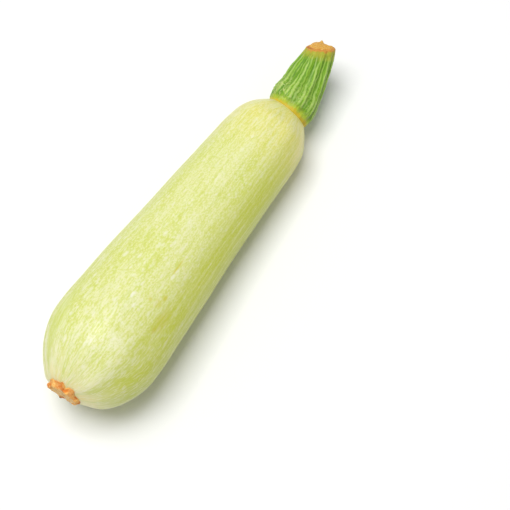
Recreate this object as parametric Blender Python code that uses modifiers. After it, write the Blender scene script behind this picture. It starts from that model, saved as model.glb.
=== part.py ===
"""A pale green marrow, lying on its side: the fruit, its ridged cut stem and its corky blossom scar.

Metres, +Z up. The marrow is modelled as it grows, standing on its blossom end along its own +Z, and an
empty then lays it down. Lying, +X runs from the blossom end to the stem, and z = 0 is what it lies on.
"""

import math

import bpy
import numpy as np
from mathutils import Matrix, Vector, noise

# Fruit
FRUIT_LENGTH = 0.2158
FRUIT_OUTLINE = (  # (share of the length from the blossom end, radius)
    (0.000, 0.0098),
    (0.010, 0.0155),
    (0.030, 0.0214),
    (0.060, 0.0267),
    (0.100, 0.0312),
    (0.145, 0.0340),
    (0.200, 0.0346),
    (0.280, 0.0338),
    (0.400, 0.0323),
    (0.550, 0.0298),
    (0.700, 0.0279),
    (0.820, 0.0264),
    (0.890, 0.0253),
    (0.935, 0.0234),
    (0.968, 0.0197),
    (0.990, 0.0158),
    (1.000, 0.0131),
)
SIDE_BOW = 0.0015
SAG = 0.0012
FRUIT_STEPS = 60
FRUIT_RINGS = 44

# Ribs of the fruit
RIB_PAIRS = 5
RIB_FAINT_PART = 0.4
RIB_HEIGHT = 0.0004
RIB_HEIGHT_BLOSSOM_END = 0.0008
RIB_HEIGHT_SHOULDER = 0.0006
RIB_BLOSSOM_END = (0.05, 0.09)  # where along the fruit, and how far either way
RIB_SHOULDER = (0.95, 0.05)
RIB_WANDER = 0.05
RIB_START = 0.006  # the ribs rise over this much radius beyond the flat ends

# Ends of the fruit
BLOSSOM_SHIFT = 0.0010
BLOSSOM_SHIFT_DEPTH = 0.006
BLOSSOM_SLANT = 0.05
BLOSSOM_SLANT_DEPTH = 0.006
SEAT_SLANT_UP = 0.158
SEAT_SLANT_SIDE = 0.085
SEAT_SLANT_DEPTH = 0.020
SEAT_SHIFT = -0.0010
SEAT_SHIFT_DEPTH = 0.008

# Blossom scar
SCAR_RADIUS = 0.0095
SCAR_LOBES = (  # (degrees from the top towards +Y, reach beyond the radius, half width in degrees)
    (12, 0.0030, 26),
    (-25, 0.0031, 26),
    (-72, 0.0006, 26),
    (-104, 0.0008, 30),
    (-148, 0.0021, 40),
    (64, 0.0030, 34),
    (102, 0.0024, 32),
)
SCAR_RIM_THICKNESS = 0.0018
SCAR_FACE_THICKNESS = 0.0013
SCAR_EDGE_THICKNESS = 0.0005
SCAR_THINNER_BELOW = 0.35
SCAR_LIP = 0.0003
SCAR_PIT_RADIUS = 0.0022
SCAR_PIT_DEPTH = 0.0005
SCAR_ROUGHNESS = 0.0005
SCAR_ROUGHNESS_SCALE = 170
SCAR_STEPS = 60

# Stem
STEM_LENGTH = 0.0446
STEM_RISE = math.radians(22.3)
STEM_SWING = math.radians(3.7)
STEM_LEAD = 0.025
STEM_TWIST = math.radians(10)
STEM_OUTLINE = (  # (share of the length from the fruit, radius between the ridges)
    (0.00, 0.0130),
    (0.12, 0.0141),
    (0.25, 0.0138),
    (0.40, 0.0120),
    (0.60, 0.0102),
    (0.80, 0.0091),
    (0.95, 0.0085),
    (1.00, 0.0081),
)
SEAT_SLANT_ENDS = 0.35  # share of the stem's length from which it no longer follows the seat's slant
STEM_STEPS = 48
STEM_RINGS = 21

# Ridges of the stem
STEM_RIDGES = (  # (degrees from the top towards +Y, height, half width in degrees)
    (8, 0.0013, 22),
    (48, 0.0009, 17),
    (86, 0.0014, 22),
    (124, 0.0009, 18),
    (158, 0.0013, 22),
    (196, 0.0008, 17),
    (230, 0.0013, 22),
    (266, 0.0009, 17),
    (299, 0.0013, 20),
    (332, 0.0010, 16),
)
RIDGE_START = 0.08  # shares of the stem's length
RIDGE_FULL = 0.3
RIDGE_PART_AT_BASE = 0.55
RIDGE_FADING = 0.8
RIDGE_PART_AT_CUT = 0.65

# Cut end of the stem
CUT_SLANT_SIDE = 0.27
CUT_SLANT_STARTS = 0.6
CUT_DOME = 0.0025
CUT_BAND = 0.07
CUT_ROUGHNESS = 0.0005
CUT_ROUGHNESS_SCALE = 500
CUT_FIBRE_HEIGHT = 0.0019
CUT_FIBRE_WIDTH = 0.0022
CUT_FIBRE_ANGLE = math.radians(162)
CUT_FIBRE_PLACE = 0.7

# Lying
LYING_TILT = math.radians(3.7)
FLAT_SPOT_DEPTH = 0.0005

GAP = 0.0003
WELD = 0.00001
SHARP = math.radians(50)

SKIN_COLOUR = (0.80, 0.82, 0.38, 1)
STEM_COLOUR = (0.24, 0.40, 0.05, 1)
CORK_COLOUR = (0.68, 0.36, 0.12, 1)


def clear_scene():
    for obj in list(bpy.data.objects):
        bpy.data.objects.remove(obj, do_unlink=True)


def new_collection(name):
    collection = bpy.data.collections.new(name)
    bpy.context.scene.collection.children.link(collection)
    return collection


def new_material(name, colour, roughness):
    material = bpy.data.materials.new(name)
    material.use_nodes = True
    shader = material.node_tree.nodes["Principled BSDF"]
    shader.inputs["Base Color"].default_value = colour
    shader.inputs["Roughness"].default_value = roughness
    shader.inputs["Metallic"].default_value = 0
    material.diffuse_color = colour
    return material


def ease(value):
    """0 up to 0, 1 from 1, and a smooth rise between."""
    value = min(max(value, 0), 1)
    return value * value * (3 - 2 * value)


def bumps_round(bumps, angle):
    """The height at an angle of bumps set round a circle, each (degrees, height, half width in degrees)."""
    total = 0
    for degrees, height, half_width in bumps:
        away = (math.degrees(angle) - degrees + 180) % 360 - 180
        total += height * (1 - ease(abs(away) / half_width))
    return total


def smooth_line(points, count, end_bias=0.0):
    """Points of a smooth curve through the given ones, evenly spaced, or closer near its ends by end_bias."""
    points = np.asarray(points, dtype=float)
    reach = np.concatenate([[0], np.cumsum(np.linalg.norm(np.diff(points, axis=0), axis=1))])
    slope = np.gradient(points, reach, axis=0)
    even = np.linspace(0, 1, count)
    biased = (1 - np.cos(math.pi * even)) / 2
    at = reach[-1] * ((1 - end_bias) * even + end_bias * biased)
    start = np.clip(np.searchsorted(reach, at) - 1, 0, len(points) - 2)
    step = (reach[start + 1] - reach[start])[:, None]
    f = (at - reach[start])[:, None] / step
    return (
        (1 + 2 * f) * (1 - f) ** 2 * points[start]
        + f * (1 - f) ** 2 * step * slope[start]
        + f * f * (3 - 2 * f) * points[start + 1]
        + f * f * (f - 1) * step * slope[start + 1]
    )


def turned(name, outline, steps, collection, material):
    """An object turned about Z from an outline of (radius, height), which runs from the top to the bottom."""
    profile = bpy.data.meshes.new(name + "_profile")
    corners = [(radius, 0, height) for radius, height in outline]
    profile.from_pydata(corners, [(i, i + 1) for i in range(len(corners) - 1)], [])
    guide = bpy.data.objects.new(name + "_profile", profile)
    collection.objects.link(guide)
    screw = guide.modifiers.new("turn", "SCREW")
    screw.steps = steps
    screw.render_steps = steps
    screw.use_merge_vertices = True
    screw.merge_threshold = WELD
    graph = bpy.context.evaluated_depsgraph_get()
    mesh = bpy.data.meshes.new_from_object(guide.evaluated_get(graph))
    bpy.data.objects.remove(guide, do_unlink=True)
    bpy.data.meshes.remove(profile)
    mesh.name = name
    mesh.materials.clear()
    mesh.materials.append(material)
    obj = bpy.data.objects.new(name, mesh)
    collection.objects.link(obj)
    return obj


def reshape(obj, rule):
    """Moves each vertex of a turned object to rule(radius, angle from the top towards +Y, height)."""
    for vertex in obj.data.vertices:
        x, y, z = vertex.co
        vertex.co = rule(math.hypot(x, y), math.atan2(y, -x), z)
    obj.data.shade_smooth()
    obj.data.set_sharp_from_angle(angle=SHARP)


def round_point(radius, angle, height):
    """The growing marrow's top, once it lies, is its -X side."""
    return Vector((-radius * math.cos(angle), radius * math.sin(angle), height))


def as_grown(point):
    """Takes a point of a straight marrow to where it is on this one, which is bowed and has slanted ends."""
    share = min(max(point.z / FRUIT_LENGTH, 0), 1)
    past_seat = point.z - FRUIT_LENGTH
    bow = math.sin(math.pi * share)
    side = SIDE_BOW * bow
    side += BLOSSOM_SHIFT * ease(1 - point.z / BLOSSOM_SHIFT_DEPTH)
    side += SEAT_SHIFT * ease(1 + past_seat / SEAT_SHIFT_DEPTH)
    slant = -BLOSSOM_SLANT * point.y * ease(1 - point.z / BLOSSOM_SLANT_DEPTH)
    slant += (SEAT_SLANT_UP * point.x + SEAT_SLANT_SIDE * point.y) * ease(1 + past_seat / SEAT_SLANT_DEPTH)
    return Vector((point.x + SAG * bow, point.y + side, point.z + slant))


def rib_relief(angle, share):
    """Five broad ribs with five fainter ones between them, strongest at the blossom end and the shoulder."""
    height = RIB_HEIGHT
    for (middle, width), end_height in (
        (RIB_BLOSSOM_END, RIB_HEIGHT_BLOSSOM_END),
        (RIB_SHOULDER, RIB_HEIGHT_SHOULDER),
    ):
        height += (end_height - RIB_HEIGHT) * math.exp(-(((share - middle) / width) ** 2))
    turn = angle - math.pi + RIB_WANDER * math.sin(2 * math.pi * share) * math.sin(angle)
    broad = (1 - RIB_FAINT_PART) * math.cos(RIB_PAIRS * turn)
    faint = RIB_FAINT_PART * math.cos(2 * RIB_PAIRS * turn)
    return height * (broad + faint)


def fruit_side():
    """The fruit's side without its ribs, as (radius, height) from the blossom end to the stem."""
    return smooth_line([(radius, share * FRUIT_LENGTH) for share, radius in FRUIT_OUTLINE], FRUIT_RINGS, 0.5)


def ribbed_radius(radius, angle, height):
    share = height / FRUIT_LENGTH
    flat_end = FRUIT_OUTLINE[0][1] if share < 0.5 else FRUIT_OUTLINE[-1][1]
    return radius + ease((radius - flat_end) / RIB_START) * rib_relief(angle, share)


def make_fruit(collection):
    turned_outline = [(0, FRUIT_LENGTH), *reversed(fruit_side().tolist()), (0, 0)]
    skin = new_material("skin", SKIN_COLOUR, 0.42)
    fruit = turned("fruit", turned_outline, FRUIT_STEPS, collection, skin)

    def rule(radius, angle, height):
        return as_grown(round_point(ribbed_radius(radius, angle, height), angle, height))

    reshape(fruit, rule)
    return fruit


def make_scar(collection):
    """A dished cork pad. Its ragged rim has lobes that lie on the skin round the fruit's flat blossom end."""
    near_end = fruit_side()[: FRUIT_RINGS // 4]
    flat_end = FRUIT_OUTLINE[0][1]
    front = [
        (0, -SCAR_FACE_THICKNESS + SCAR_PIT_DEPTH),
        (0.6 * SCAR_PIT_RADIUS, -SCAR_FACE_THICKNESS + SCAR_PIT_DEPTH),
        (SCAR_PIT_RADIUS, -SCAR_FACE_THICKNESS - SCAR_LIP),
        (0.5 * SCAR_RADIUS, -SCAR_FACE_THICKNESS),
        (0.75 * SCAR_RADIUS, -SCAR_FACE_THICKNESS - SCAR_LIP),
        (0.91 * SCAR_RADIUS, -SCAR_RIM_THICKNESS),
        (0.98 * SCAR_RADIUS, -(SCAR_RIM_THICKNESS + SCAR_EDGE_THICKNESS) / 2),
        (SCAR_RADIUS, -GAP - SCAR_EDGE_THICKNESS),
    ]
    back = [(part * SCAR_RADIUS, -GAP) for part in (1, 0.9, 0.5, 0)]
    cork = new_material("cork", CORK_COLOUR, 0.8)
    scar = turned("blossom_scar", [*reversed(back), *reversed(front)], SCAR_STEPS, collection, cork)

    def rule(radius, angle, height):
        outward = ease(radius / SCAR_RADIUS)
        spread = max(2 * radius / SCAR_RADIUS - 1, 0) ** 2
        reach = radius + spread * bumps_round(SCAR_LOBES, angle)
        if height < -GAP - WELD:
            height *= 1 - SCAR_THINNER_BELOW * outward * (1 - math.cos(angle)) / 2
            rough = SCAR_ROUGHNESS * noise.noise(SCAR_ROUGHNESS_SCALE * round_point(reach, angle, 0))
            height = min(height + outward * rough, -GAP - SCAR_EDGE_THICKNESS)
        elif radius < SCAR_RADIUS - WELD:
            reach = min(reach, flat_end)
        skin_radii = [ribbed_radius(ring, angle, ring_height) for ring, ring_height in near_end]
        height += np.interp(reach, skin_radii, near_end[:, 1])
        return as_grown(round_point(reach, angle, height))

    reshape(scar, rule)
    return scar


def stem_line(share):
    """The middle of the stem at a share of its length, and the direction across which it is cut there."""
    seat = as_grown(Vector((0, 0, FRUIT_LENGTH)))
    along = Vector((0, 0, 1))
    reach = Vector((
        -math.sin(STEM_RISE),
        math.cos(STEM_RISE) * math.sin(STEM_SWING),
        math.cos(STEM_RISE) * math.cos(STEM_SWING),
    ))
    bend = seat + STEM_LEAD * along
    tip = Vector((0, 0, FRUIT_LENGTH)) + STEM_LENGTH * reach
    middle = (1 - share) ** 2 * seat + 2 * share * (1 - share) * bend + share**2 * tip
    heading = (2 * (1 - share) * (bend - seat) + 2 * share * (tip - bend)).normalized()
    seat_facing = Vector((-SEAT_SLANT_UP, -SEAT_SLANT_SIDE, 1)).normalized()
    facing = seat_facing.lerp(heading, ease(share / SEAT_SLANT_ENDS))
    facing += ease((share - CUT_SLANT_STARTS) / (1 - CUT_SLANT_STARTS)) * CUT_SLANT_SIDE * Vector((0, 1, 0))
    return middle, facing.normalized()


def stem_relief(angle, share):
    """Ridges with furrows between them. They start just past the fruit and soften towards the cut."""
    start = ease(share / RIDGE_START)
    base = RIDGE_PART_AT_BASE + (1 - RIDGE_PART_AT_BASE) * ease(share / RIDGE_FULL)
    cut = 1 - (1 - RIDGE_PART_AT_CUT) * ease((share - RIDGE_FADING) / (1 - RIDGE_FADING))
    return start * base * cut * bumps_round(STEM_RIDGES, angle + STEM_TWIST * (share - 0.5))


def cut_relief(spot, share):
    """The torn surface of the cut end, with one bundle of fibres standing up from it."""
    at_cut = ease(1 - (1 - share) / CUT_BAND)
    fibre_radius = CUT_FIBRE_PLACE * STEM_OUTLINE[-1][1]
    fibre = fibre_radius * Vector((math.cos(CUT_FIBRE_ANGLE), math.sin(CUT_FIBRE_ANGLE), 0))
    bundle = CUT_FIBRE_HEIGHT * math.exp(-(((spot - fibre).length / CUT_FIBRE_WIDTH) ** 2))
    return at_cut * (bundle + CUT_ROUGHNESS * noise.noise(CUT_ROUGHNESS_SCALE * spot))


def make_stem(collection):
    side = smooth_line([(radius, share * STEM_LENGTH) for share, radius in STEM_OUTLINE], STEM_RINGS, 0.2)
    cut_radius = STEM_OUTLINE[-1][1]
    cut = [(part * cut_radius, STEM_LENGTH + CUT_DOME * (1 - part * part)) for part in (0, 0.3, 0.6, 0.85)]
    turned_outline = [*cut, *reversed(side.tolist()), (0.5 * STEM_OUTLINE[0][1], 0), (0, 0)]
    green = new_material("stem_green", STEM_COLOUR, 0.55)
    stem = turned("stem", turned_outline, STEM_STEPS, collection, green)

    def rule(radius, angle, height):
        share = min(height / STEM_LENGTH, 1)
        radius += stem_relief(angle, share) * ease(radius / cut_radius)
        middle, facing = stem_line(share)
        across = (Vector((0, 1, 0)) - facing.y * facing).normalized()
        below = across.cross(facing)
        spot = Vector((radius * math.cos(angle), radius * math.sin(angle), 0))
        lift = GAP * (1 - ease(share / 0.2)) + max(height - STEM_LENGTH, 0) + cut_relief(spot, share)
        return middle + lift * facing - spot.x * below + spot.y * across

    reshape(stem, rule)
    return stem


def corners_of(objects):
    """The lowest and highest corner of the objects together, in world space."""
    bpy.context.view_layer.update()
    points = [obj.matrix_world @ vertex.co for obj in objects for vertex in obj.data.vertices]
    low = Vector([min(point[axis] for point in points) for axis in range(3)])
    high = Vector([max(point[axis] for point in points) for axis in range(3)])
    return low, high


def lay_down(pieces, fruit, collection):
    """Lays the growing marrow on its side, its middle over the origin and its lowest rib just below z = 0."""
    lying = bpy.data.objects.new("marrow_lying", None)
    collection.objects.link(lying)
    for piece in pieces:
        piece.parent = lying
    lying.matrix_world = Matrix.Rotation(math.radians(90) + LYING_TILT, 4, "Y")
    low, high = corners_of(pieces)
    middle = (low + high) / 2
    underside = corners_of([fruit])[0].z
    lying.location = (-middle.x, -middle.y, -underside - FLAT_SPOT_DEPTH)
    bpy.context.view_layer.update()


def flatten_underside(fruit, collection):
    """Cuts the small flat spot that the marrow rests on."""
    bpy.ops.mesh.primitive_cube_add(size=1)
    cutter = bpy.context.object
    cutter.name = "flat_spot_cutter"
    cutter.scale = (0.4, 0.2, 0.02)
    cutter.location = (0, 0, -cutter.scale.z / 2)
    for holder in list(cutter.users_collection):
        holder.objects.unlink(cutter)
    collection.objects.link(cutter)
    cutter.hide_render = True
    cutter.display_type = "WIRE"
    cut = fruit.modifiers.new("flat_spot", "BOOLEAN")
    cut.operation = "DIFFERENCE"
    cut.object = cutter


def main():
    clear_scene()
    marrow = new_collection("marrow")
    cutters = new_collection("cutters")
    fruit = make_fruit(marrow)
    stem = make_stem(marrow)
    scar = make_scar(marrow)
    lay_down([fruit, stem, scar], fruit, marrow)
    flatten_underside(fruit, cutters)


main()
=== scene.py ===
"""The looks of a pale green marrow that lies on its side.

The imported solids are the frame. Each of them is replaced by a finer skin that follows the same rules:
the fruit with its flecked, waxy skin, the ridged stem with its dried cut, and the corky blossom scar.
Metres, +Z up. The marrow is shaped as it grows, standing on its blossom end along +Z, and is then laid
down, so that +X runs from the blossom end to the stem.
"""

import math

import bpy
import numpy as np
from mathutils import Matrix, Vector, noise


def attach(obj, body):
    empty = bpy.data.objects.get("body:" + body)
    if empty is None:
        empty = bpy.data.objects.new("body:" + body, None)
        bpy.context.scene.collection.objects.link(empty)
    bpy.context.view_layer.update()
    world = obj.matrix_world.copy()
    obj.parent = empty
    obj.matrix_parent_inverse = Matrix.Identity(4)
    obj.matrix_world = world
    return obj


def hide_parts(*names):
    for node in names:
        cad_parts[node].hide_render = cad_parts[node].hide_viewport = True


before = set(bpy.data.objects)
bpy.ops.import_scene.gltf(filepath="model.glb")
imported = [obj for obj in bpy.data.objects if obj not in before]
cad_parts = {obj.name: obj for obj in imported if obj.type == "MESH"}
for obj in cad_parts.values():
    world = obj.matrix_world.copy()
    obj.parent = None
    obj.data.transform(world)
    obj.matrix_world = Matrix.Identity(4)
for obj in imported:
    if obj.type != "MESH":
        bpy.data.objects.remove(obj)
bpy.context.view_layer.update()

# Fruit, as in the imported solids
FRUIT_LENGTH = 0.2158
FRUIT_OUTLINE = (  # (share of the length from the blossom end, radius)
    (0.000, 0.0098),
    (0.010, 0.0155),
    (0.030, 0.0214),
    (0.060, 0.0267),
    (0.100, 0.0312),
    (0.145, 0.0340),
    (0.200, 0.0346),
    (0.280, 0.0338),
    (0.400, 0.0323),
    (0.550, 0.0298),
    (0.700, 0.0279),
    (0.820, 0.0264),
    (0.890, 0.0253),
    (0.935, 0.0234),
    (0.968, 0.0197),
    (0.990, 0.0158),
    (1.000, 0.0131),
)
SIDE_BOW = 0.0015
SAG = 0.0012
RIB_PAIRS = 5
RIB_FAINT_PART = 0.4
RIB_HEIGHT = 0.0004
RIB_HEIGHT_BLOSSOM_END = 0.0008
RIB_HEIGHT_SHOULDER = 0.0006
RIB_BLOSSOM_END = (0.05, 0.09)
RIB_SHOULDER = (0.95, 0.05)
RIB_WANDER = 0.05
RIB_START = 0.006
BLOSSOM_SHIFT = 0.0010
BLOSSOM_SHIFT_DEPTH = 0.006
BLOSSOM_SLANT = 0.05
BLOSSOM_SLANT_DEPTH = 0.006
SEAT_SLANT_UP = 0.158
SEAT_SLANT_SIDE = 0.085
SEAT_SLANT_DEPTH = 0.020
SEAT_SHIFT = -0.0010
SEAT_SHIFT_DEPTH = 0.008

# Finer shape of the fruit's skin
FRUIT_COLUMNS = 250
FRUIT_ROWS = 378
FRUIT_END_ROWS = 6
RELIEF_STARTS = 0.001  # radius at which the finer relief starts on each end
RELIEF_FADE = 0.006
PUCKER_HEIGHT = 0.00028
PUCKER_COUNT = 34
PUCKERS_PER_METRE = 25
PUCKER_MIDDLE = 0.014  # distances over the skin from the middle of the blossom end
PUCKER_REACH = 0.014
DENT_HEIGHT = 0.00022
DENT_SIZE = 0.030
COLLAR_HEIGHT = 0.0005
COLLAR_REACH = 0.0022
FLANK_STARTS = -8  # the flank painted greener and darker, as shade and green bounce light, in degrees from the top towards +Y
FLANK_SHADE_DEEPENS = -60
FLANK_ENDS = -175
# The +Y side, painted greener so that the top between the two flanks stays paler as a painted sheen.
OTHER_FLANK_STARTS = 15
OTHER_FLANK_ENDS = 175
FLANK_FADE = 60
SCAR_HALO = (0.012, 0.024)  # stretches of the skin, as ways along it from the middle of the blossom end
NEAR_SCAR = (0.012, 0.043)
NEAR_STEM = (0.18, 0.235)
SEAT_LINE = (0.2455, 0.2485)
SPOT_CORE = 0.45  # a spot is strongest up to this part of its radius
SPOT_BLUR = 0.02  # and ends this part of a cell beyond it
SKIN_GIRTH = 0.2
MARK_CORE = 0.3  # a mark is strongest up to this part of its half size, and ends at the next
MARK_EDGE = 1.2
SKIN_MARKS = (
    # finish, degrees from the top towards +Y, way along the skin, half width, half length, strength
    ("greener", 48, 0.050, 0.0080, 0.0300, 0.50),
    ("paler", 61, 0.030, 0.0017, 0.0130, 0.60),
    ("paler", -21, 0.052, 0.0045, 0.0070, 0.45),
    ("paler", 2, 0.044, 0.0020, 0.0060, 0.40),
    ("creamier", -72, 0.224, 0.0080, 0.0200, 0.70),
    ("ochre", -26, 0.109, 0.0008, 0.0068, 0.70),
    ("ochre", -23, 0.084, 0.0011, 0.0016, 0.50),
    ("ochre", -34, 0.090, 0.0014, 0.0022, 0.70),
    ("ochre", -31, 0.085, 0.0028, 0.0034, 0.38),
    ("ochre", -44, 0.072, 0.0016, 0.0026, 0.60),
    ("ochre", -46, 0.080, 0.0050, 0.0100, 0.40),
)
MARK_COLOURS = {
    "greener": (206, 218, 84),
    "paler": (240, 240, 212),
    "creamier": (246, 236, 168),
    "ochre": (206, 198, 30),
}

# Blossom scar
SCAR_RADIUS = 0.0095
SCAR_LOBES = (  # (degrees from the top towards +Y, reach beyond the radius, half width in degrees)
    (5, 0.0026, 12),
    (16, 0.0028, 26),
    (-23, 0.0036, 25),
    (-72, 0.0006, 26),
    (-104, 0.0008, 30),
    (-148, 0.0021, 40),
    (45, 0.0030, 28),
    (76, 0.0012, 20),
    (114, 0.0040, 30),
)
SCAR_RIM_THICKNESS = 0.0025
SCAR_FACE_THICKNESS = 0.0020
SCAR_EDGE_THICKNESS = 0.0006
SCAR_THINNER_BELOW = 0.35
SCAR_RIM_STARTS = 0.65
SCAR_RIM_RISE = 0.22
SCAR_EDGE_STARTS = 0.86
SCAR_EDGE_FALL = 0.14
SCAR_PIT_RADIUS = 0.0022
SCAR_PIT_DEPTH = 0.0006
SCAR_SUNK = 0.0003
SCAR_COLUMNS = 320
SCAR_FRONT_ROWS = 110
SCAR_FRAY = 0.0007
KNOB_HEIGHT = 0.0007
KNOB_COUNT = 21
KNOB_SPAN = (0.55, 0.3, 1.02, 0.12)  # start, rise, end and fall, as parts of the way to the scar's edge
CRACK_DEPTH = 0.0003
CRACK_COUNT = 26
CRACK_WIDTH = 0.12
CRACK_SPAN = (0.2, 0.3, 1.02, 0.1)
SCAR_GRAIN_HEIGHT = 0.00012
SCAR_GRAIN_SCALE = 1800
SCAR_GRAIN_SPAN = (0, 0.1, 1.02, 0.06)
SCAR_TEAR_DEPTH = 0.0006  # a torn hollow in the lower rim, with a dark tuft beside it
SCAR_TEAR = (math.radians(174), math.radians(11), (0.5, 0.15, 0.92, 0.1))  # (middle, width, span)
SCAR_TUFT_HEIGHT = 0.0009
SCAR_TUFT = (math.radians(162), math.radians(6), (0.76, 0.1, 1.02, 0.1))
SCAR_TIP_HEIGHT = 0.0014  # the fuller edge of the lobe on the left
SCAR_TIP = (math.radians(100), math.radians(17), (0.84, 0.1, 1.03, 0.05))

# Stem
STEM_LENGTH = 0.0446
STEM_RISE = math.radians(22.3)
STEM_SWING = math.radians(3.7)
STEM_LEAD = 0.025
STEM_TWIST = math.radians(10)
STEM_OUTLINE = (  # (share of the length from the fruit, radius between the ridges)
    (0.00, 0.0130),
    (0.12, 0.0141),
    (0.25, 0.0138),
    (0.40, 0.0120),
    (0.60, 0.0102),
    (0.80, 0.0091),
    (0.95, 0.0085),
    (1.00, 0.0081),
)
STEM_RIDGES = (  # (degrees from the top towards +Y, height, half width in degrees)
    (8, 0.0013, 22),
    (48, 0.0009, 17),
    (86, 0.0014, 22),
    (124, 0.0009, 18),
    (158, 0.0013, 22),
    (196, 0.0008, 17),
    (230, 0.0013, 22),
    (266, 0.0009, 17),
    (299, 0.0013, 20),
    (332, 0.0010, 16),
)
RIDGE_START = 0.08
RIDGE_FULL = 0.3
RIDGE_PART_AT_BASE = 0.55
RIDGE_FADING = 0.8
RIDGE_PART_AT_CUT = 0.65
SEAT_SLANT_ENDS = 0.35
CUT_SLANT_SIDE = 0.27
CUT_SLANT_STARTS = 0.6
CUT_DOME = 0.0025
CUT_BAND = 0.07
CUT_ROUGHNESS = 0.0005
CUT_ROUGHNESS_SCALE = 500
CUT_FIBRE_HEIGHT = 0.0017
CUT_FIBRE_WIDTH = 0.0012
CUT_FIBRE_ANGLE = math.radians(162)
CUT_FIBRE_PLACE = 0.7
CUT_SWELL_HEIGHT = 0.0011
CUT_SWELL_WIDTH = 0.0036
CUT_SWELL_ANGLE = math.radians(125)
CUT_SWELL_PLACE = 0.75

# Finer shape of the stem
STEM_COLUMNS = 400
STEM_SIDE_ROWS = 170
CUT_ROWS = 36
STEM_SUNK = 0.0006
STEM_SUNK_ENDS = 0.2
FINE_RIDGE_COUNT = 62
FINE_RIDGE_CHANGES = 2.5
FINE_RIDGE_HEIGHT = 0.00022
WART_HEIGHT = 0.0005
WART_SIZE = 0.0018
WART_SPAN = (0, 0.06, 0.7, 0.45)  # start, rise, end and fall, as shares of the stem's length
WART_SIDE = math.radians(55)
WART_SIDE_WIDTH = 0.8
LEFT_LEAST = 0.35  # how much of the left side's warts and net the other side has
CORD_WIDTH = math.radians(3.9)
CORD_HEIGHT = 0.0004
CORD_TWIST = math.radians(-8)
CORD_SPAN = (0.05, 0.12, 0.98, 0.1)
CORD_WANDER = ((0.09, 0, 5), (0.03, 7, 16))  # (turn, start of the noise, features along the stem)
CORD_PRESENCE = 0.95
CORD_PRESENCE_CHANGE = 0.6
CORD_STEPS = (  # (degrees from the ridge, strength) of the cords that run up each ridge
    (0, 1.0),
    (11, 0.7),
    (-10, 0.6),
)
STEM_SIDES = (  # (degrees, height, half width in degrees, share of the length, reach) of broad swellings
    (75, 0.0017, 85, 0.60, 0.24),
    (-100, -0.0008, 60, 0.30, 0.14),
)

# Lying
LYING_TILT = math.radians(3.7)
LYING_PLACE = (-0.130874, -0.000855, 0.038844)

# Camera, lights and floor
PICTURE_SIZE = 510
SENSOR_WIDTH = 36
CAMERA_FOCUS_PIXELS = 1640
CAMERA_DISTANCE = 0.95
CAMERA_AZIMUTH = math.radians(-55.2)
CAMERA_ELEVATION = math.radians(70.9)
CAMERA_AIM = (-0.023598, -0.000855, 0.031907)
AIM_PIXEL = (179.4, 248.7)
KEY_LIGHT_TOWARDS = (-0.04, 0.16, 0.96)
KEY_LIGHT_DISTANCE = 3.0
KEY_LIGHT_SIZE = 1.6
KEY_LIGHT_POWER = 78
KEY_LIGHT_COLOUR = (1.0, 1.0, 0.99)
FILL_STRENGTH = 0.32
FLOOR_SIZE = 8
FLOOR_LEVEL = -0.0002
FLOOR_COLOUR = (0.94, 0.94, 0.94, 1)
FLOOR_ROUGHNESS = 0.7
FLOOR_GLOW = 0.62
FLOOR_GLOW_STARTS = 1.0
FLOOR_GLOW_FULL = 4.0


def srgb(red, green, blue):
    """A colour as a screen shows it, from 0 to 255, as the linear colour that a shader takes."""
    linear = [
        part / 12.92 if part <= 0.04045 else ((part + 0.055) / 1.055) ** 2.4
        for part in (red / 255, green / 255, blue / 255)
    ]
    return (*linear, 1)


def ease(value):
    """0 up to 0, 1 from 1, and a smooth rise between."""
    value = np.clip(value, 0, 1)
    return value * value * (3 - 2 * value)


def between(value, start, rise, end, fall):
    """0 up to the start, 1 once it has risen, and 0 again from the end, where it has fallen."""
    return ease((value - start) / rise) * ease((end - value) / fall)


def bell(value, width):
    """1 at 0, and less to either side, about a third at the width."""
    return np.exp(-((value / width) ** 2))


def turn_from(middle, angle):
    """How far each angle is from the middle one, up to half a turn either way."""
    return np.angle(np.exp(1j * (angle - middle)))


def bumps_round(bumps, angle):
    """The height at each angle of bumps set round a circle, each (degrees, height, half width in degrees)."""
    total = np.zeros_like(angle)
    for degrees, height, half_width in bumps:
        away = (np.degrees(angle) - degrees + 180) % 360 - 180
        total += height * (1 - ease(np.abs(away) / half_width))
    return total


def noise_at(points, seed=0):
    """Smooth noise from about -1 to 1 at each point, with features about one unit across."""
    offset = Vector((17.3 * seed, 5.1 * seed, 9.7 * seed))
    return np.array([noise.noise(Vector(point) + offset) for point in points])


def noise_round(angle, along, count, per_unit, seed=0):
    """Noise round a turned shape: about count features round it, and per_unit of them along each unit."""
    radius = count / (2 * math.pi)
    points = np.stack([radius * np.cos(angle), radius * np.sin(angle), per_unit * along], axis=1)
    return noise_at(points, seed)


def noise_along(steps, start, per_unit, seed):
    """Noise along a line from its start, with per_unit features in each unit of it."""
    return noise_at(np.stack([0 * steps + start, 0 * steps, per_unit * steps], axis=1), seed)


def smooth_line(points, count):
    """Evenly spaced points of a smooth curve through the given ones."""
    points = np.asarray(points, dtype=float)
    reach = np.concatenate([[0], np.cumsum(np.linalg.norm(np.diff(points, axis=0), axis=1))])
    slope = np.gradient(points, reach, axis=0)
    at = np.linspace(0, reach[-1], count)
    start = np.clip(np.searchsorted(reach, at) - 1, 0, len(points) - 2)
    step = (reach[start + 1] - reach[start])[:, None]
    f = (at - reach[start])[:, None] / step
    return (
        (1 + 2 * f) * (1 - f) ** 2 * points[start]
        + f * (1 - f) ** 2 * step * slope[start]
        + f * f * (3 - 2 * f) * points[start + 1]
        + f * f * (f - 1) * step * slope[start + 1]
    )


def round_points(radius, angle, height):
    """The growing marrow's top, once it lies, is its -X side."""
    return np.stack([-radius * np.cos(angle), radius * np.sin(angle), height], axis=1)


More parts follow.
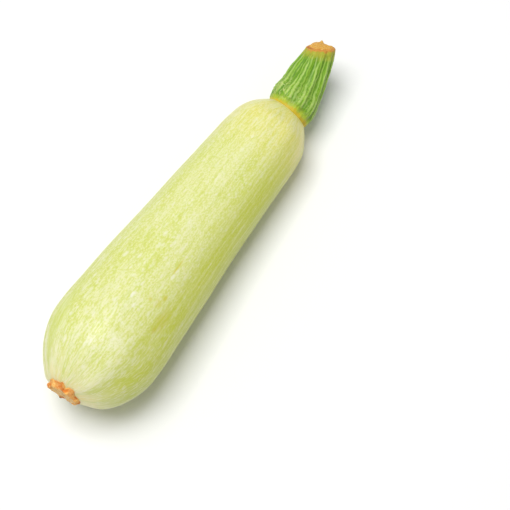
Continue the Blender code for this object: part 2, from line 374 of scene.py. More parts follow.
def as_grown(points):
    """Takes points of a straight marrow to their places on this one, which is bowed, with slanted ends."""
    x, y, z = points.T
    past_seat = z - FRUIT_LENGTH
    bow = np.sin(math.pi * np.clip(z / FRUIT_LENGTH, 0, 1))
    side = SIDE_BOW * bow
    side += BLOSSOM_SHIFT * ease(1 - z / BLOSSOM_SHIFT_DEPTH)
    side += SEAT_SHIFT * ease(1 + past_seat / SEAT_SHIFT_DEPTH)
    slant = -BLOSSOM_SLANT * y * ease(1 - z / BLOSSOM_SLANT_DEPTH)
    slant += (SEAT_SLANT_UP * x + SEAT_SLANT_SIDE * y) * ease(1 + past_seat / SEAT_SLANT_DEPTH)
    return np.stack([x + SAG * bow, y + side, z + slant], axis=1)


def laid_down(points):
    """Takes points of the standing marrow to where they are once it lies."""
    turn = np.array(Matrix.Rotation(math.radians(90) + LYING_TILT, 3, "Y"))
    return points @ turn.T + np.array(LYING_PLACE)


def rib_relief(angle, share):
    """Five broad ribs with five fainter ones between them, strongest at the blossom end and the shoulder."""
    height = RIB_HEIGHT
    for (middle, width), end_height in (
        (RIB_BLOSSOM_END, RIB_HEIGHT_BLOSSOM_END),
        (RIB_SHOULDER, RIB_HEIGHT_SHOULDER),
    ):
        height = height + (end_height - RIB_HEIGHT) * bell(share - middle, width)
    turn = angle - math.pi + RIB_WANDER * np.sin(2 * math.pi * share) * np.sin(angle)
    broad = (1 - RIB_FAINT_PART) * np.cos(RIB_PAIRS * turn)
    faint = RIB_FAINT_PART * np.cos(2 * RIB_PAIRS * turn)
    return height * (broad + faint)


def ribbed_radius(radius, angle, height):
    share = height / FRUIT_LENGTH
    flat_end = np.where(share < 0.5, FRUIT_OUTLINE[0][1], FRUIT_OUTLINE[-1][1])
    return radius + ease((radius - flat_end) / RIB_START) * rib_relief(angle, share)


def side_of_fruit(count):
    return smooth_line([(radius, share * FRUIT_LENGTH) for share, radius in FRUIT_OUTLINE], count)


def deselect_all():
    bpy.ops.object.select_all(action="DESELECT")


def wrapped_grid(name, columns, rows, rule, material):
    """A closed skin, from a grid wrapped round an axis. rule(angle, row) gives every vertex its place.

    rule also gives what the material reads there: how far along the piece it is, for its UV map, and its
    named attributes. The grid's two sides are merged into one, and so is each end's row of points.
    """
    deselect_all()
    bpy.ops.mesh.primitive_grid_add(x_subdivisions=columns, y_subdivisions=rows, size=1)
    piece = bpy.context.object
    piece.name = name
    mesh = piece.data
    mesh.name = name
    flat = np.empty(3 * len(mesh.vertices))
    mesh.vertices.foreach_get("co", flat)
    turn, row = flat.reshape(-1, 3)[:, :2].T + 0.5
    points, along, attributes = rule(2 * math.pi * turn, row * rows)
    mesh.vertices.foreach_set("co", points.astype(np.float32).ravel())
    corner_vertices = np.empty(len(mesh.loops), dtype=int)
    mesh.loops.foreach_get("vertex_index", corner_vertices)
    corner_places = np.stack([turn, along], axis=1)[corner_vertices]
    mesh.uv_layers[0].name = "place"
    mesh.uv_layers["place"].data.foreach_set("uv", corner_places.astype(np.float32).ravel())
    for key, values in attributes.items():
        mesh.attributes.new(key, "FLOAT", "POINT").data.foreach_set("value", values.astype(np.float32))
    bpy.ops.object.mode_set(mode="EDIT")
    bpy.ops.mesh.select_all(action="SELECT")
    bpy.ops.mesh.remove_doubles(threshold=1e-6)
    bpy.ops.mesh.normals_make_consistent(inside=False)
    bpy.ops.object.mode_set(mode="OBJECT")
    bpy.ops.object.shade_smooth()
    mesh.materials.append(material)
    piece.location = (0, 0, 0)
    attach(piece, "root")
    return piece


def make_fruit(material):
    """The fruit's skin, with its ribs, the fine puckers round the blossom end and shallow dents."""
    side = side_of_fruit(FRUIT_ROWS + 1 - 2 * FRUIT_END_ROWS)
    parts = np.linspace(0, 1, FRUIT_END_ROWS + 1)
    blossom_end = [(side[0, 0] * part, 0) for part in parts[:-1]]
    seat = [(side[-1, 0] * (1 - part), FRUIT_LENGTH) for part in parts[1:]]
    outline = np.array([*blossom_end, *side.tolist(), *seat])
    outline_reach = np.concatenate([[0], np.cumsum(np.linalg.norm(np.diff(outline, axis=0), axis=1))])

    def rule(angle, row):
        station = np.rint(row).astype(int)
        radius, height = outline[station].T
        reach = outline_reach[station]
        on_side = ease((radius - RELIEF_STARTS) / RELIEF_FADE)
        pucker = PUCKER_HEIGHT * bell(reach - PUCKER_MIDDLE, PUCKER_REACH)
        relief = pucker * noise_round(angle, reach, PUCKER_COUNT, PUCKERS_PER_METRE)
        relief += DENT_HEIGHT * noise_at(round_points(radius, angle, height) / DENT_SIZE, 3)
        relief += COLLAR_HEIGHT * bell(outline_reach[-1] - side[-1, 0] - reach, COLLAR_REACH)
        ribbed = ribbed_radius(radius, angle, height)
        points = laid_down(as_grown(round_points(ribbed + on_side * relief, angle, height)))
        points[:, 2] = np.maximum(points[:, 2], 0)
        rib = rib_relief(angle, height / FRUIT_LENGTH) / RIB_HEIGHT_BLOSSOM_END
        round_top = (np.degrees(angle) + 180) % 360 - 180
        # Painted shade and green bounce light: greener down the -Y flank, and darker still low on it.
        greener = ease((FLANK_STARTS - round_top) / FLANK_FADE)
        greener += ease((FLANK_SHADE_DEEPENS - round_top) / FLANK_FADE)
        greener *= ease((round_top - FLANK_ENDS) / FLANK_FADE)
        # A greener +Y side, which leaves the top paler as a painted sheen.
        other = between(round_top, OTHER_FLANK_STARTS, FLANK_FADE, OTHER_FLANK_ENDS, FLANK_FADE)
        return points, reach, {"rib": rib, "shaded_flank": greener, "flank_past_sheen": other}

    fruit = wrapped_grid("fruit_skin", FRUIT_COLUMNS, FRUIT_ROWS, rule, material)
    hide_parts("fruit")


def unit(vectors):
    return vectors / np.linalg.norm(vectors, axis=1, keepdims=True)


def stem_line(share):
    """The stem's middle at each share of its length, and the two directions across it, below and to +Y."""
    seat = as_grown(np.array([[0, 0, FRUIT_LENGTH]]))[0]
    reach = np.array([
        -math.sin(STEM_RISE),
        math.cos(STEM_RISE) * math.sin(STEM_SWING),
        math.cos(STEM_RISE) * math.cos(STEM_SWING),
    ])
    bend = seat + np.array([0, 0, STEM_LEAD])
    tip = np.array([0, 0, FRUIT_LENGTH]) + STEM_LENGTH * reach
    s = share[:, None]
    middle = (1 - s) ** 2 * seat + 2 * s * (1 - s) * bend + s**2 * tip
    heading = unit(2 * (1 - s) * (bend - seat) + 2 * s * (tip - bend))
    seat_facing = unit(np.array([[-SEAT_SLANT_UP, -SEAT_SLANT_SIDE, 1]]))
    facing = seat_facing + (heading - seat_facing) * ease(s / SEAT_SLANT_ENDS)
    sideways = np.array([[0.0, 1.0, 0.0]])
    facing = unit(facing + ease((s - CUT_SLANT_STARTS) / (1 - CUT_SLANT_STARTS)) * CUT_SLANT_SIDE * sideways)
    across = unit(sideways - facing[:, 1:2] * facing)
    return middle, facing, np.cross(across, facing), across


def stem_relief(angle, share):
    """Ridges with furrows between them. They start just past the fruit and soften towards the cut."""
    start = ease(share / RIDGE_START)
    base = RIDGE_PART_AT_BASE + (1 - RIDGE_PART_AT_BASE) * ease(share / RIDGE_FULL)
    cut = 1 - (1 - RIDGE_PART_AT_CUT) * ease((share - RIDGE_FADING) / (1 - RIDGE_FADING))
    return start * base * cut * bumps_round(STEM_RIDGES, angle + STEM_TWIST * (share - 0.5))


def cut_relief(spot, share):
    """The torn surface of the cut end, with a low swelling and one bundle of fibres standing up from it."""
    at_cut = ease(1 - (1 - share) / CUT_BAND)
    raised = np.zeros(len(spot))
    for height, width, angle, part in (
        (CUT_FIBRE_HEIGHT, CUT_FIBRE_WIDTH, CUT_FIBRE_ANGLE, CUT_FIBRE_PLACE),
        (CUT_SWELL_HEIGHT, CUT_SWELL_WIDTH, CUT_SWELL_ANGLE, CUT_SWELL_PLACE),
    ):
        middle = part * STEM_OUTLINE[-1][1] * np.array([math.cos(angle), math.sin(angle)])
        raised += height * bell(np.linalg.norm(spot - middle, axis=1), width)
    spot = np.column_stack([spot, np.zeros(len(spot))])
    rough = CUT_ROUGHNESS * noise_at(CUT_ROUGHNESS_SCALE * spot)
    rough += 0.4 * CUT_ROUGHNESS * noise_at(3 * CUT_ROUGHNESS_SCALE * spot, 1)
    return at_cut * (raised + rough)


def ridge_cords(angle, share):
    """Thin cords that run up the ridges, wandering a little and coming and going, as heights from 0 to 1."""
    turned = angle + CORD_TWIST * (share - 0.5)
    steps = np.linspace(0, 1, 400)
    cords = np.zeros_like(angle)
    for number, (degrees, _, _) in enumerate(STEM_RIDGES):
        for step, (side_step, strength) in enumerate(CORD_STEPS):
            seed = number + 20 * step
            wander = sum(turn * noise_along(steps, start, count, seed) for turn, start, count in CORD_WANDER)
            comes = CORD_PRESENCE + CORD_PRESENCE_CHANGE * noise_along(steps, 3, 4, seed)
            middle = math.radians(degrees + side_step) + np.interp(share, steps, wander)
            height = np.interp(share, steps, np.clip(strength * comes, 0, 1))
            cords = np.maximum(cords, height * bell(turn_from(middle, turned), CORD_WIDTH))
    return cords * between(share, *CORD_SPAN)


def make_stem(material):
    """The stem's rind, with its ridges, the warts on its left foot and its torn, dried cut."""
    side = smooth_line([(radius, share * STEM_LENGTH) for share, radius in STEM_OUTLINE], STEM_SIDE_ROWS)
    foot = [(side[0, 0] * part, 0) for part in (0, 0.5, 0.9)]
    cut = [
        (side[-1, 0] * part, STEM_LENGTH + CUT_DOME * (1 - part**2))
        for part in np.linspace(1, 0, CUT_ROWS)[1:]
    ]
    outline = np.array([*foot, *side.tolist(), *cut])
    highest_ridge = max(height for _, height, _ in STEM_RIDGES)

    def rule(angle, row):
        station = np.rint(row).astype(int)
        radius, height = outline[station].T
        share = np.clip(height / STEM_LENGTH, 0, 1)
        on_side = ease(radius / side[-1, 0])
        ridges = stem_relief(angle, share)
        fine = FINE_RIDGE_HEIGHT * noise_round(angle, share, FINE_RIDGE_COUNT, FINE_RIDGE_CHANGES, 2)
        left = LEFT_LEAST + (1 - LEFT_LEAST) * bell(turn_from(WART_SIDE, angle), WART_SIDE_WIDTH)
        warts = noise_at(round_points(radius, angle, height) / WART_SIZE, 4)
        warts = WART_HEIGHT * between(share, *WART_SPAN) * left * warts
        cords = ridge_cords(angle, share)
        relief = ridges + fine + warts + CORD_HEIGHT * cords
        for degrees, swelling, half_width, middle, reach in STEM_SIDES:
            swelling = swelling * bell(share - middle, reach)
            relief += swelling * bumps_round(((degrees, 1, half_width),), angle)
        radius = radius + on_side * relief
        spot = np.stack([radius * np.cos(angle), radius * np.sin(angle)], axis=1)
        middle, facing, below, across = stem_line(share)
        sunk = -STEM_SUNK * (1 - ease(share / STEM_SUNK_ENDS))
        lift = sunk + np.maximum(height - STEM_LENGTH, 0) + cut_relief(spot, share)
        points = middle + lift[:, None] * facing - spot[:, :1] * below + spot[:, 1:] * across
        on_cut = np.clip((station - len(foot) - len(side) + 1) / CUT_ROWS, 0, 1)
        attributes = {
            "ridge": ridges / highest_ridge,
            "cord": cords,
            "left": left,
            "cut": on_cut,
        }
        return laid_down(points), (share + on_cut) / 2, attributes

    stem = wrapped_grid("stem_rind", STEM_COLUMNS, len(outline) - 1, rule, material)
    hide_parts("stem")


def make_scar(material):
    """The dished cork pad, whose ragged, knobbly rim lies on the skin round the blossom end."""
    part = np.linspace(0, 1, SCAR_FRONT_ROWS)
    face = -SCAR_FACE_THICKNESS + SCAR_PIT_DEPTH * (1 - ease(part * SCAR_RADIUS / SCAR_PIT_RADIUS))
    rim = -(SCAR_RIM_THICKNESS - SCAR_FACE_THICKNESS) * ease((part - SCAR_RIM_STARTS) / SCAR_RIM_RISE)
    edge = (SCAR_RIM_THICKNESS - SCAR_EDGE_THICKNESS) * ease((part - SCAR_EDGE_STARTS) / SCAR_EDGE_FALL)
    front = np.stack([part, face + rim + edge], axis=1)
    back = np.array([(0.97, SCAR_SUNK), (0.6, SCAR_SUNK), (0, SCAR_SUNK)])
    outline = np.concatenate([front, back])
    near_end = side_of_fruit(400)[:100]

    def rule(angle, row):
        station = np.rint(row).astype(int)
        part, height = outline[station].T
        on_front = station < SCAR_FRONT_ROWS
        spread = np.maximum(2 * part - 1, 0) ** 2
        reach = part * SCAR_RADIUS + spread * bumps_round(SCAR_LOBES, angle)
        ragged = noise_round(angle, part, 48, 14, 5) + 0.5 * noise_round(angle, part, 110, 30, 9)
        reach = reach + SCAR_FRAY * spread * ragged
        knob = noise_round(angle, part, KNOB_COUNT, 9, 6)
        crack = np.abs(noise_round(angle, part, CRACK_COUNT, 2, 7))
        grain = noise_at(round_points(reach, angle, 0 * part) * SCAR_GRAIN_SCALE, 8)
        tear, tuft, tip = (
            bell(turn_from(middle, angle), width) * between(part, *span)
            for middle, width, span in (SCAR_TEAR, SCAR_TUFT, SCAR_TIP)
        )
        rough = -KNOB_HEIGHT * knob * between(part, *KNOB_SPAN)
        rough += CRACK_DEPTH * (1 - ease(crack / CRACK_WIDTH)) * between(part, *CRACK_SPAN)
        rough += SCAR_GRAIN_HEIGHT * grain * between(part, *SCAR_GRAIN_SPAN)
        rough += SCAR_TEAR_DEPTH * tear - SCAR_TUFT_HEIGHT * tuft * (1 + 0.5 * grain)
        rough -= SCAR_TIP_HEIGHT * tip
        thin = 1 - SCAR_THINNER_BELOW * ease(part) * (1 - np.cos(angle)) / 2
        height = np.where(on_front, height * thin + rough, height)
        skin_height = np.interp(reach, near_end[:, 0], near_end[:, 1])
        points = laid_down(as_grown(round_points(reach, angle, height + skin_height)))
        attributes = {
            "rim": ease((part - 0.7) / 0.22),
            "knob": knob,
            "crack": 1 - ease(crack / 0.2),
            "tear": tear * on_front,
            "tuft": tuft * on_front,
        }
        return points, part, attributes

    scar = wrapped_grid("scar_cork", SCAR_COLUMNS, len(outline) - 1, rule, material)
    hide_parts("blossom_scar")


def place(tree, kind, inputs=None, **settings):
    """Adds a shader node. An input is joined where it is given a socket, and otherwise set."""
    node = tree.nodes.new(kind)
    for name, value in settings.items():
        setattr(node, name, value)
    for key, value in (inputs or {}).items():
        if isinstance(value, bpy.types.NodeSocket):
            tree.links.new(value, node.inputs[key])
        else:
            node.inputs[key].default_value = value
    return node


def calculate(tree, operation, first, second=0.0):
    """The result of a sum in a shader. An operation on a single value takes no notice of the second."""
    return place(tree, "ShaderNodeMath", {0: first, 1: second}, operation=operation).outputs[0]


def times(tree, first, second):
    return calculate(tree, "MULTIPLY", first, second)


def spread_to(tree, value, low, high, out_low=0.0, out_high=1.0):
    """Takes a value from low..high to out_low..out_high, smoothly and held at both ends."""
    inputs = {"Value": value, "From Min": low, "From Max": high, "To Min": out_low, "To Max": out_high}
    return place(tree, "ShaderNodeMapRange", inputs, interpolation_type="SMOOTHSTEP").outputs[0]


def mix_colours(tree, factor, first, second):
    """The first colour where the factor is 0, and the second where it is 1."""
    return place(tree, "ShaderNodeMix", {0: factor, 6: first, 7: second}, data_type="RGBA").outputs[2]


def attribute(tree, name):
    return place(tree, "ShaderNodeAttribute", attribute_name=name).outputs["Fac"]


def new_group(name, inputs):
    """A shader node group with float inputs, as {name: value}, and one output, Value."""
    group = bpy.data.node_groups.new(name, "ShaderNodeTree")
    for label, value in inputs.items():
        socket = group.interface.new_socket(label, in_out="INPUT", socket_type="NodeSocketFloat")
        socket.default_value = value
    group.interface.new_socket("Value", in_out="OUTPUT", socket_type="NodeSocketFloat")
    return group, group.nodes.new("NodeGroupInput"), group.nodes.new("NodeGroupOutput")


def place_on_piece(tree):
    """Where a point is on its piece, from the UV map: X is the turn round the piece, Y the way along it."""
    place_map = place(tree, "ShaderNodeUVMap", uv_map="place").outputs["UV"]
    return place(tree, "ShaderNodeSeparateXYZ", {"Vector": place_map}).outputs


def grown_place(group, entry):
    """The place on a piece, wrapped round a drum so that it has no seam, in cells of the size asked for."""
    on_piece = place_on_piece(group)
    angle = times(group, on_piece["X"], 2 * math.pi)
    radius = calculate(group, "DIVIDE", entry.outputs["Around"], 2 * math.pi)
    along = times(group, on_piece["Y"], entry.outputs["Along"])
    drum = place(group, "ShaderNodeCombineXYZ", {
        "X": times(group, calculate(group, "COSINE", angle), radius),
        "Y": times(group, calculate(group, "SINE", angle), radius),
        "Z": calculate(group, "ADD", along, entry.outputs["Shift"]),
    })
    return drum.outputs["Vector"]


def make_grown_noise():
    """Noise that follows a piece's own growth.

    Around is how many features it has round the piece, and Along how many in each unit of the way along.
    """
    defaults = {"Around": 30.0, "Along": 30.0, "Detail": 2.0, "Shift": 0.0}
    group, entry, result = new_group("grown_noise", defaults)
    texture = place(group, "ShaderNodeTexNoise", {
        "Vector": grown_place(group, entry),
        "Scale": 1.0,
        "Detail": entry.outputs["Detail"],
        "Roughness": 0.55,
    })
    group.links.new(texture.outputs["Fac"], result.inputs["Value"])
    return group


def make_grown_spots():
    """Oval spots that follow a piece's own growth, at most one in each cell and each of its own size.

    Around is how many cells go round the piece, Along how many in each unit of the way along, and Size the
    largest spot's radius as a part of a cell.
    """
    defaults = {"Around": 90.0, "Along": 160.0, "Size": 0.35, "Shift": 0.0}
    group, entry, result = new_group("grown_spots", defaults)
    cells = place(group, "ShaderNodeTexVoronoi", {
        "Vector": grown_place(group, entry),
        "Scale": 1.0,
        "Randomness": 1.0,
    })
    chance = place(group, "ShaderNodeSeparateColor", {"Color": cells.outputs["Color"]})
    size = times(group, chance.outputs["Red"], entry.outputs["Size"])
    core = times(group, size, SPOT_CORE)
    edge = calculate(group, "ADD", size, SPOT_BLUR)
    spot = spread_to(group, cells.outputs["Distance"], core, edge, 1.0, 0.0)
    group.links.new(times(group, spot, chance.outputs["Green"]), result.inputs["Value"])
    return group


def make_skin_mark():
    """One soft oval mark at a place on the fruit's skin, given in turns round it and metres along it."""
    defaults = {"Turn": 0.0, "Along": 0.0, "Half Width": 0.001, "Half Length": 0.001}
    group, entry, result = new_group("skin_mark", defaults)
    on_piece = place_on_piece(group)
    turned = calculate(group, "SUBTRACT", on_piece["X"], entry.outputs["Turn"])
    turned = calculate(group, "FRACT", calculate(group, "ADD", turned, 1.5))
    turned = calculate(group, "SUBTRACT", turned, 0.5)
    across = calculate(group, "DIVIDE", times(group, turned, SKIN_GIRTH), entry.outputs["Half Width"])
    lengthwise = calculate(group, "SUBTRACT", on_piece["Y"], entry.outputs["Along"])
    lengthwise = calculate(group, "DIVIDE", lengthwise, entry.outputs["Half Length"])
    across_squared = calculate(group, "POWER", across, 2.0)
    squares = calculate(group, "ADD", across_squared, calculate(group, "POWER", lengthwise, 2.0))
    mark = spread_to(group, calculate(group, "SQRT", squares), MARK_CORE, MARK_EDGE, 1, 0)
    group.links.new(mark, result.inputs["Value"])
    return group


def grown(tree, group, around, along, **others):
    """The value of a group that follows the piece's growth."""
    inputs = {"Around": around, "Along": along, **others}
    return place(tree, "ShaderNodeGroup", inputs, node_tree=group).outputs["Value"]


def new_material(name):
    material = bpy.data.materials.new(name)
    material.use_nodes = True
    return material, material.node_tree, material.node_tree.nodes["Principled BSDF"]


def join_looks(tree, shader, colour, roughness, bump):
    """Feeds a shader its colour, its roughness and a fine bump, as (height, distance, strength)."""
    height, distance, strength = bump
    bumped = place(tree, "ShaderNodeBump", {"Height": height, "Distance": distance, "Strength": strength})
    tree.links.new(colour, shader.inputs["Base Color"])
    tree.links.new(roughness, shader.inputs["Roughness"])
    tree.links.new(bumped.outputs["Normal"], shader.inputs["Normal"])


def skin_material(growth, spots, skin_mark):
    """Waxy, pale yellow-green skin with cream specks, long soft streaks, a few marks and yellower ends."""
    material, tree, shader = new_material("marrow_skin")
    along = place_on_piece(tree)["Y"]
    broad = grown(tree, growth, 13, 14, Detail=1.0)
    patches = grown(tree, growth, 56, 58, Detail=1.0, Shift=4)
    lines = grown(tree, growth, 90, 24, Detail=2.0, Shift=4)
    grain = grown(tree, growth, 230, 760, Detail=1.0, Shift=12)
    dashes = grown(tree, growth, 190, 230, Detail=1.0, Shift=17)
    specks = grown(tree, spots, 100, 280, Size=0.55)
    blots = grown(tree, spots, 56, 125, Size=0.4, Shift=7)

    # Ground: greener down both sides, which leaves the top paler as a painted sheen, greener and darker still
    # down the -Y flank as painted shade and green bounce light, with faint long streaks and soft pale
    # patches.
    green = srgb(215, 222, 122)
    colour = mix_colours(tree, spread_to(tree, broad, 0.32, 0.62), green, srgb(222, 226, 148))
    shaded_flank = attribute(tree, "shaded_flank")
    # A greener +Y side, which leaves the top paler: a painted sheen.
    flank_past_sheen = times(tree, attribute(tree, "flank_past_sheen"), 0.85)
    colour = mix_colours(tree, flank_past_sheen, colour, srgb(206, 216, 78))
    # Painted shade and green bounce light down the -Y flank, darker still low on it.
    colour = mix_colours(tree, spread_to(tree, shaded_flank, 0.0, 1.0, 0, 0.95), colour, srgb(206, 214, 52))
    colour = mix_colours(tree, spread_to(tree, shaded_flank, 1.0, 1.9, 0, 0.9), colour, srgb(170, 184, 26))
    near_stem = spread_to(tree, along, *NEAR_STEM)
    colour = mix_colours(tree, times(tree, near_stem, 0.85), colour, srgb(238, 226, 120))
    colour = mix_colours(tree, spread_to(tree, lines, 0.45, 0.62, 0, 0.42), colour, srgb(232, 234, 168))
    colour = mix_colours(tree, spread_to(tree, lines, 0.36, 0.46, 0.4, 0), colour, srgb(206, 213, 88))
    # Paler on the rib crests, partly the skin's own pale streaks and partly a painted highlight along them,
    # and greener in the furrows between them, painted shade.
    rib = attribute(tree, "rib")
    colour = mix_colours(tree, spread_to(tree, rib, 0.35, 0.95, 0, 0.5), colour, srgb(238, 238, 200))
    colour = mix_colours(tree, spread_to(tree, rib, -0.6, -0.25, 0.4, 0), colour, srgb(204, 213, 84))
    specked = spread_to(tree, shaded_flank, 0.0, 1.0, 1, 0.34)
    patched = spread_to(tree, along, 0.05, 0.11, 0.6, 0.26)
    patched = calculate(tree, "ADD", patched, times(tree, near_stem, 0.3))
    patched = times(tree, patched, spread_to(tree, patches, 0.5, 0.7))
    colour = mix_colours(tree, times(tree, specked, patched), colour, srgb(238, 239, 202))

    # Fine mottling, soft pale specks and short dashes; the pale grain, specks and blots are weaker where the
    # flank is painted with shade.
    colour = mix_colours(tree, spread_to(tree, grain, 0.36, 0.52, 0.25, 0), colour, srgb(200, 210, 82))
    pale_grain = times(tree, specked, spread_to(tree, grain, 0.48, 0.64, 0, 0.4))
    colour = mix_colours(tree, pale_grain, colour, srgb(238, 237, 198))
    speck_part = times(tree, specked, times(tree, specks, 0.65))
    colour = mix_colours(tree, speck_part, colour, srgb(238, 236, 204))
    blotted = times(tree, specked, spread_to(tree, along, 0.08, 0.14, 1, 0.45))
    colour = mix_colours(tree, times(tree, blotted, blots), colour, srgb(240, 239, 214))
    dashed = spread_to(tree, along, 0.03, 0.12, 0.4, 0.12)
    dashed = calculate(tree, "ADD", dashed, times(tree, near_stem, 0.2))
    dash_green = times(tree, dashed, spread_to(tree, dashes, 0.36, 0.5, 1, 0))
    colour = mix_colours(tree, dash_green, colour, srgb(200, 210, 76))
    dash_pale = times(tree, dashed, spread_to(tree, dashes, 0.54, 0.66))
    colour = mix_colours(tree, dash_pale, colour, srgb(240, 239, 204))

    # Blossom end: thin lines run together round the scar, on a cream ground.
    near_scar = spread_to(tree, along, *NEAR_SCAR, 1, 0)
    rays = grown(tree, growth, 54, 24, Detail=1.0, Shift=21)
    colour = mix_colours(tree, times(tree, near_scar, 0.7), colour, srgb(240, 236, 184))
    ray_green = times(tree, near_scar, spread_to(tree, rays, 0.48, 0.6, 0, 0.8))
    colour = mix_colours(tree, ray_green, colour, srgb(206, 216, 98))
    halo = spread_to(tree, along, *SCAR_HALO, 0.7, 0)
    colour = mix_colours(tree, times(tree, halo, 0.7), colour, srgb(246, 234, 178))
    ray_ochre = times(tree, halo, spread_to(tree, rays, 0.38, 0.48, 0.8, 0))
    colour = mix_colours(tree, ray_ochre, colour, srgb(238, 222, 116))
    ray_pale = times(tree, near_scar, spread_to(tree, dashes, 0.54, 0.64, 0, 0.5))
    colour = mix_colours(tree, ray_pale, colour, srgb(246, 244, 214))

    # Shoulder: a little yellow over its mottling, with a thin ochre line where the stem starts.
    colour = mix_colours(tree, times(tree, near_stem, 0.2), colour, srgb(240, 230, 132))
    seat_line = spread_to(tree, along, *SEAT_LINE, 0, 0.8)
    colour = mix_colours(tree, seat_line, colour, srgb(214, 166, 54))

    # Greener and paler places, and a few ochre scuffs.
    worn = spread_to(tree, grain, 0.34, 0.56, 0.55, 1)
    for finish, degrees, mark_along, half_width, half_length, strength in SKIN_MARKS:
        mark = place(tree, "ShaderNodeGroup", {
            "Turn": degrees / 360,
            "Along": mark_along,
            "Half Width": half_width,
            "Half Length": half_length,
        }, node_tree=skin_mark)
        marked = times(tree, times(tree, mark.outputs["Value"], strength), worn)
        colour = mix_colours(tree, marked, colour, srgb(*MARK_COLOURS[finish]))

    wax = spread_to(tree, broad, 0.3, 0.7, 0.36, 0.44)
    join_looks(tree, shader, colour, wax, (grain, 0.00012, 0.5))
    shader.inputs["IOR"].default_value = 1.45
    shader.inputs["Subsurface Weight"].default_value = 0.12
    shader.inputs["Subsurface Radius"].default_value = (1.0, 0.7, 0.25)
    shader.inputs["Subsurface Scale"].default_value = 0.003
    return material


def stem_material(growth):
    """Green, ridged rind with pale lines on its ridges, a mottled yellow foot and an orange-brown cut."""
    material, tree, shader = new_material("stem_rind")
    along = times(tree, place_on_piece(tree)["Y"], 2)
    ridge = attribute(tree, "ridge")
    cord = attribute(tree, "cord")
    left = attribute(tree, "left")
    cut = attribute(tree, "cut")
    streaks = grown(tree, growth, 60, 5, Detail=2.0)
    fine = grown(tree, growth, 130, 22, Detail=2.0, Shift=5)
    mottle = grown(tree, growth, 44, 44, Detail=2.0, Shift=9)
    net = grown(tree, growth, 30, 30, Detail=1.5, Shift=15)

    # Painted shade: darker green in the furrows between the ridges, paler on the ridges.
    colour = mix_colours(tree, spread_to(tree, ridge, 0.05, 0.7), srgb(106, 156, 18), srgb(138, 190, 28))
    colour = mix_colours(tree, spread_to(tree, streaks, 0.45, 0.62, 0, 0.45), colour, srgb(156, 198, 56))
    colour = mix_colours(tree, spread_to(tree, streaks, 0.36, 0.46, 0.45, 0), colour, srgb(98, 154, 12))
    colour = mix_colours(tree, spread_to(tree, mottle, 0.36, 0.45, 0.4, 0), colour, srgb(88, 138, 18))

    # Cords: pale lines, each with a thin dark line beside it.
    beside = times(tree, spread_to(tree, cord, 0.03, 0.16), spread_to(tree, cord, 0.2, 0.4, 0.6, 0))
    colour = mix_colours(tree, beside, colour, srgb(76, 120, 14))
    pale_cord = times(tree, spread_to(tree, cord, 0.26, 0.85), spread_to(tree, fine, 0.35, 0.6, 0.4, 0.72))
    colour = mix_colours(tree, pale_cord, colour, srgb(186, 210, 122))
    colour = mix_colours(tree, spread_to(tree, fine, 0.58, 0.7, 0, 0.4), colour, srgb(180, 204, 100))

    # Foot: a pale, wiggly net and mottling on the left, and a ragged yellow-ochre band against the fruit.
    foot = times(tree, spread_to(tree, along, 0.14, 0.55, 1, 0), left)
    from_line = calculate(tree, "ABSOLUTE", calculate(tree, "SUBTRACT", net, 0.5))
    net_lines = times(tree, foot, spread_to(tree, from_line, 0.008, 0.032, 0.8, 0))
    colour = mix_colours(tree, net_lines, colour, srgb(210, 220, 148))
    spots = times(tree, foot, spread_to(tree, mottle, 0.5, 0.62, 0, 0.6))
    colour = mix_colours(tree, spots, colour, srgb(198, 208, 116))
    ragged = calculate(tree, "ADD", along, times(tree, mottle, 0.08))
    band = calculate(tree, "ADD", ragged, times(tree, left, 0.035))
    colour = mix_colours(tree, spread_to(tree, band, 0.09, 0.19, 0.7, 0), colour, srgb(192, 200, 42))
    colour = mix_colours(tree, spread_to(tree, band, 0.09, 0.125, 0.9, 0), colour, srgb(208, 178, 34))

    # Cut end: dried to orange-brown, brownest on its left rim, the green fading out just below it.
    drying = calculate(tree, "ADD", along, times(tree, mottle, 0.14))
    colour = mix_colours(tree, spread_to(tree, drying, 0.9, 1.03, 0, 0.75), colour, srgb(188, 182, 52))
    colour = mix_colours(tree, spread_to(tree, drying, 1.03, 1.08), colour, srgb(216, 148, 56))
    face = times(tree, spread_to(tree, cut, 0.08, 0.3), 0.9)
    colour = mix_colours(tree, face, colour, srgb(224, 166, 56))
    torn = times(tree, spread_to(tree, cut, 0.03, 0.2), spread_to(tree, mottle, 0.48, 0.62, 0, 0.8))
    colour = mix_colours(tree, torn, colour, srgb(240, 196, 110))
    rim = times(tree, spread_to(tree, cut, 0.0, 0.03), spread_to(tree, cut, 0.08, 0.22, 1, 0))
    browned = times(tree, rim, spread_to(tree, left, 0.55, 0.95, 0.2, 0.75))
    colour = mix_colours(tree, browned, colour, srgb(176, 100, 40))

    roughness = spread_to(tree, streaks, 0.3, 0.7, 0.55, 0.7)
    join_looks(tree, shader, colour, roughness, (fine, 0.0003, 0.7))
    return material


